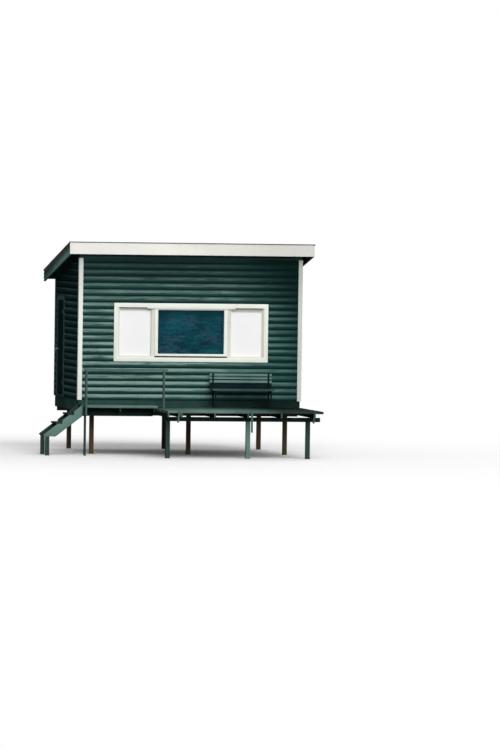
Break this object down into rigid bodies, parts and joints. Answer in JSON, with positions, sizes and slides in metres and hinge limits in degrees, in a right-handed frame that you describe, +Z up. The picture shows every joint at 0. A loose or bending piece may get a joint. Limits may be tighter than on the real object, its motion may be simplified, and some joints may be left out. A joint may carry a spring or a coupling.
{
  "type": "boathouse",
  "caption": "Small lakeside boathouse with rounded log siding, a single pitch roof, a three-light window, a side door, decks on posts, a stair and a bench.",
  "frame": {"origin": "under the middle of the whole outline, at the lowest foot", "axes": "+Z up, the front with the window faces -Y, +X to the right seen from the front"},
  "size_m": [5.899, 5.653, 4.4629],
  "materials": {
    "siding_green": "painted log siding, dark green",
    "trim_green": "painted boards, dark green",
    "trim_white": "painted boards, off-white",
    "panel_white": "painted panels, white",
    "deck_green": "painted lumber, worn sage green",
    "bench_green": "painted slats, light sage green",
    "bench_dark": "painted bars, nearly black",
    "bare_wood": "bare boards, darkened with age",
    "door_green": "painted door, dark green",
    "window_glass": "dark teal glass",
    "roof_sheet": "mineral roofing felt, dark grey",
    "hinge_metal": "painted hinges",
    "knob_metal": "worn brass knob"
  },
  "bodies": {
    "house": {"front_wall_left": "siding_green", "front_wall_right": "siding_green", "front_wall_below": "siding_green", "front_wall_above": "siding_green", "left_wall_front": "siding_green", "left_wall_rear": "siding_green", "left_wall_over_door": "siding_green", "right_wall": "siding_green", "rear_wall": "siding_green", "corner_boards_rear": "trim_green", "frieze": "trim_green", "skirts_long": "trim_green", "skirts_short": "trim_green", "rake_boards": "trim_green", "rafters": "trim_green", "rafter_blocks": "trim_green", "fascia_rear": "trim_green", "door_casing": "trim_green", "door_jambs": "trim_green", "door_head": "trim_green", "door_stops": "trim_green", "door_threshold": "trim_green", "corner_boards_front": "trim_white", "fascia_front": "trim_white", "window_casing": "trim_white", "window_frame": "trim_white", "middle_sash": "trim_white", "side_panels": "panel_white", "deck_boards": "deck_green", "deck_joists": "deck_green", "deck_ledger": "deck_green", "deck_beam": "deck_green", "deck_posts": "deck_green", "walkway_boards": "deck_green", "walkway_joists": "deck_green", "walkway_beam": "deck_green", "walkway_post": "deck_green", "handrail_posts": "deck_green", "handrail": "deck_green", "rail_stubs": "deck_green", "stair_stringers": "deck_green", "stair_treads": "deck_green", "stair_header": "deck_green", "stair_legs": "deck_green", "bench_slats": "bench_green", "bench_seat": "bench_green", "bench_frames": "bench_dark", "bench_panel": "bench_dark", "floor": "bare_wood", "floor_joists": "bare_wood", "sill_beams": "bare_wood", "foundation_posts": "bare_wood", "roof_boards": "bare_wood", "window_glass": "window_glass", "roofing": "roof_sheet", "jamb_hinges": "hinge_metal"},
    "door": {"door_leaf": "door_green", "door_hinges": "hinge_metal", "door_knob": "knob_metal"}
  },
  "joints": [
    {"name": "door_hinge", "type": "hinge", "parent": "house", "child": "door", "pos_m": [-2.0895, 1.561, 1.4], "axis": [0, 0, 1], "range_deg": [0, 100]}
  ]
}
